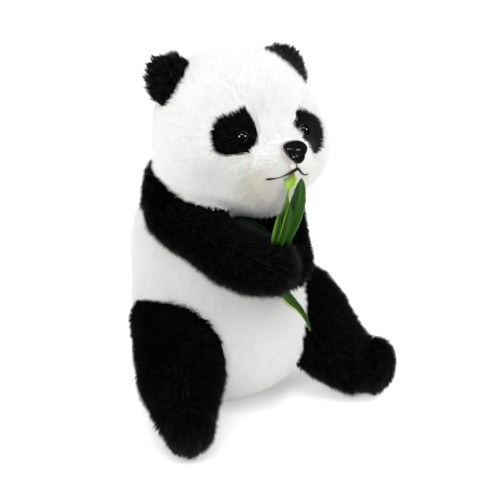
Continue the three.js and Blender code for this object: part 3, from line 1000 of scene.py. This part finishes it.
def thread_material():
    n = Nodes("mouth_thread")
    brown = n.ramp(n.noise(700), (0.3, (0.018, 0.008, 0.006)), (0.7, (0.05, 0.026, 0.02)))
    n.surface(brown, 0.8, 0.1)
    n.bump(n.noise(2500, 2), 0.1 * MM, 0.5)
    return n.material


# ---- bamboo leaves ----

# The bunch faces a little to the toy's right. Stops along each midrib, in millimetres: across the
# bunch, out from the toy, up, width, and degrees turned from the way the bunch faces.
BUNCH_TURN = 38
LEAVES = {
    "leaf_lime": [
        (51.6, 66.5, 193.2, 9.5, 0), (53.1, 75.2, 191.4, 8.8, 0), (52.8, 79.2, 188.4, 6, -15),
        (51.9, 81.4, 184.8, 2.8, -60), (51.6, 82, 177.8, 5.4, -45), (50.2, 80.8, 168, 7.5, -12),
        (47.5, 78.5, 158, 7.5, 0), (45.5, 74.5, 149, 7, 0), (43, 69, 141, 6, 0),
    ],
    "leaf_front": [
        (60.6, 79.7, 194, 1.2, 0), (60.2, 79.7, 189, 6, 0), (58.8, 78.6, 179, 10, 0),
        (55.8, 76, 168, 11.5, 0), (52.6, 73, 158, 11, 0), (49.6, 69.5, 148, 9, 0),
        (47.6, 66, 140, 7, 0),
    ],
    "leaf_folded": [
        (53.4, 87, 178, 1.2, -10), (52.9, 86.6, 172, 4.5, -15), (51.3, 85, 164, 6, -15),
        (49, 82, 155, 5.5, -12), (46.6, 78.2, 147, 4.5, -10), (44.6, 74, 140, 4, -10),
    ],
    "leaf_narrow": [
        (46.6, 86, 171, 1.2, -20), (45.9, 85.6, 166, 3.8, -20), (44.6, 83.8, 159, 4.6, -15),
        (42.9, 81, 151, 4.2, -10), (41, 77, 143, 3.6, -10),
    ],
    "leaf_low": [
        (47, 62, 116, 6, 8), (49.2, 62.5, 107, 8.2, 8), (54.5, 58.6, 98.7, 7.6, 6),
        (60.9, 54.5, 90.7, 5.2, 2), (65.9, 51, 81.3, 3, -2), (69, 47.5, 71.5, 1.2, -2),
    ],
    "leaf_dark": [
        (38.6, 43.5, 141, 5, 10), (31.7, 47.5, 148, 7, 10), (24.4, 51, 154, 6, 8),
        (17.2, 54.5, 159, 1.2, 8),
    ],
}
LEAF_THICK, LEAF_RIM = 0.9 * MM, 0.45 * MM
LEAF_FOLD, FOLD_ROUND = 0.22, 1.3  # its edges over its midrib, for its half width, and how that rises
LEAF_CURL, CURL_RATE = 0.05, 0.35  # the rim's curl for its half width, and its turn at each step
LEAF_WAVES = [(0.03, 0.9), (0.02, 2.3)]  # how much the width varies, and its turn at each step
LEAST_WIDTH = 0.8  # in millimetres
LEAF_RINGS, LEAF_SIDES = 72, 12  # steps along a leaf, and across each of its faces
LEAF_MAP = "across_and_along"
# Colours across each leaf, from its left edge over the midrib to its right edge.
LEAF_DYES = {
    "leaf_lime": [
        (0, (0.302, 0.475, 0.086)), (0.12, (0.238, 0.403, 0.043)), (0.5, (0.259, 0.432, 0.058)),
        (0.56, (0.187, 0.338, 0.029)), (0.9, (0.216, 0.382, 0.04)), (1, (0.324, 0.49, 0.115)),
    ],
    "leaf_front": [
        (0, (0.022, 0.069, 0.013)), (0.3, (0.014, 0.049, 0.007)), (0.47, (0.020, 0.069, 0.007)),
        (0.5, (0.045, 0.126, 0.016)), (0.54, (0.025, 0.092, 0.008)), (0.9, (0.020, 0.078, 0.007)),
        (1, (0.058, 0.138, 0.027)),
    ],
    "leaf_folded": [
        (0, (0.089, 0.219, 0.013)), (0.16, (0.076, 0.190, 0.009)), (0.3, (0.009, 0.040, 0.005)),
        (0.5, (0.014, 0.058, 0.007)), (0.6, (0.022, 0.086, 0.009)), (1, (0.022, 0.081, 0.011)),
    ],
    "leaf_narrow": [
        (0, (0.085, 0.207, 0.013)), (0.35, (0.067, 0.178, 0.009)), (0.55, (0.009, 0.040, 0.005)),
        (0.8, (0.009, 0.043, 0.005)), (1, (0.018, 0.063, 0.009)),
    ],
    "leaf_low": [
        (0, (0.341, 0.464, 0.160)), (0.16, (0.223, 0.336, 0.090)), (0.27, (0.019, 0.056, 0.007)),
        (0.5, (0.040, 0.098, 0.013)), (0.56, (0.014, 0.046, 0.005)), (1, (0.027, 0.075, 0.009)),
    ],
    "leaf_dark": [
        (0, (0.009, 0.029, 0.005)), (0.42, (0.002, 0.013, 0.002)), (0.5, (0.014, 0.040, 0.007)),
        (0.58, (0.002, 0.013, 0.002)), (1, (0.006, 0.021, 0.003)),
    ],
}
# How far along itself a leaf turns to the green of the others, and that green across it.
LEAF_TURNS = {"leaf_lime": [(0.30, 0.0), (0.42, 0.55), (0.60, 1.0)]}
LEAF_GREEN = [(0.0, (0.09, 0.19, 0.012)), (0.2, (0.014, 0.055, 0.006)), (0.8, (0.009, 0.042, 0.006)),
              (1.0, (0.014, 0.05, 0.008))]


def smooth_stops(stops, count):
    """Catmull-Rom values through rows of stops, at even steps."""
    stops = np.array(stops, float)
    ends = np.concatenate([[2 * stops[0] - stops[1]], stops, [2 * stops[-1] - stops[-2]]])
    t = np.linspace(0, len(stops) - 1, count)
    i = np.minimum(t.astype(int), len(stops) - 2)
    u = (t - i)[:, None]
    a, b, c, d = (ends[i + k] for k in range(4))
    return b + 0.5 * u * (c - a + u * (2 * a - 5 * b + 4 * c - d + u * (3 * (b - c) + d - a)))


def leaf_material(name):
    """Printed leaf cloth: bands of green across the leaf, fine veins along it, a light rim."""
    n = Nodes(name + "_cloth")
    place = n.add("UVMap", {}, "UV", uv_map=LEAF_MAP)
    across, along = (n.add("SeparateXYZ", {"Vector": place}, axis) for axis in "XY")
    waver = n.math("MULTIPLY_ADD", n.noise(220, 2), 0.06, across)
    colour = n.ramp(waver, *[(0.03 + 0.97 * at, dye) for at, dye in LEAF_DYES[name]])
    if name in LEAF_TURNS:
        turned = n.ramp(along, *[(at, (mix, mix, mix)) for at, mix in LEAF_TURNS[name]])
        colour = n.mix("MIX", turned, colour, n.ramp(waver, *LEAF_GREEN))
    stretched = n.math("MULTIPLY", place, (26, 3, 1), kind="VectorMath", out="Vector")
    stripes = n.add("TexNoise", {"Vector": stretched, "Scale": 1.0}, "Fac", noise_dimensions="2D")
    veins = n.ramp(stripes, (0.38, (0.5, 0.52, 0.44)), (0.62, (1.25, 1.22, 1.0)))
    n.surface(n.mix("MULTIPLY", 1.0, colour, veins), 0.5, 0.18)
    n.bump(stripes, 0.3 * MM, 0.6)
    return n.material


def add_leaf(name):
    """A stiffened cloth leaf: thin, folded along its midrib, its rim a little wavy."""
    stops = smooth_stops(LEAVES[name], LEAF_RINGS)
    points = stops[:, :3] * (1, -1, 1) * MM
    width = np.maximum(stops[:, 3], LEAST_WIDTH) * MM
    turn = np.radians(stops[:, 4])
    along = unit(np.gradient(points, axis=0))
    out = np.stack([np.sin(turn), -np.cos(turn), 0 * turn], 1)
    across = unit(np.cross(out, along))
    normal = unit(np.cross(along, across))
    side = np.concatenate([np.linspace(-1, 1, LEAF_SIDES + 1), np.linspace(1, -1, LEAF_SIDES + 1)])
    face = np.repeat([-1, 1], LEAF_SIDES + 1)
    thick = (LEAF_RIM + (LEAF_THICK - LEAF_RIM) * (1 - np.abs(side))) / 2
    rows = []
    for i in range(LEAF_RINGS):
        half = width[i] / 2 * (1 + sum(much * math.sin(rate * i) for much, rate in LEAF_WAVES))
        curl = LEAF_CURL * half * np.sin(CURL_RATE * i + 2 * side) * np.abs(side)
        rise = half * LEAF_FOLD * np.abs(side) ** FOLD_ROUND + curl + face * thick
        rows.append(points[i] + across[i] * (side * half)[:, None] + normal[i] * rise[:, None])
    a = math.radians(-BUNCH_TURN)
    turned = np.array([[math.cos(a), -math.sin(a), 0], [math.sin(a), math.cos(a), 0], [0, 0, 1]])
    rows = [row @ turned.T for row in rows]
    mesh = rings_to_mesh(name + "_blade", rows)
    layer = mesh.uv_layers.new(name=LEAF_MAP)
    ring = len(side)
    corner = read(mesh, "loops", "vertex_index", 1, np.int32)[:, 0]
    place = np.stack([(side[corner % ring] + 1) / 2, (corner // ring) / LEAF_RINGS], 1)
    layer.data.foreach_set("uv", place.ravel().astype(np.float32))
    slot = "lime_cloth" if name == "leaf_lime" else "leaf_cloth"
    add_piece(name + "_blade", mesh, leaf_material(name), slot, name)


EYE_PLASTIC = plastic("eye_plastic", (0.001, 0.001, 0.001), (0.003, 0.0024, 0.0024), 0.03, 0.8)
NOSE_PLASTIC = plastic("nose_plastic", (0.003, 0.003, 0.003), (0.008, 0.0075, 0.0075), 0.13, 0.7)
THREAD = thread_material()

# ---- putting it together ----

add_camera()
add_lights()
add_floor()
marks = Markings()
skin = Skin(marks)
skin.dress()
mouth = mouth_paths(marks)
add_coat(skin, marks, np.concatenate([path[::3] for path, _ in mouth.values()]))
add_nose()
for side in ("left", "right"):
    add_eye(side)
for name, (path, radius) in mouth.items():
    add_thread(name, path, radius)
for name in LEAVES:
    add_leaf(name)
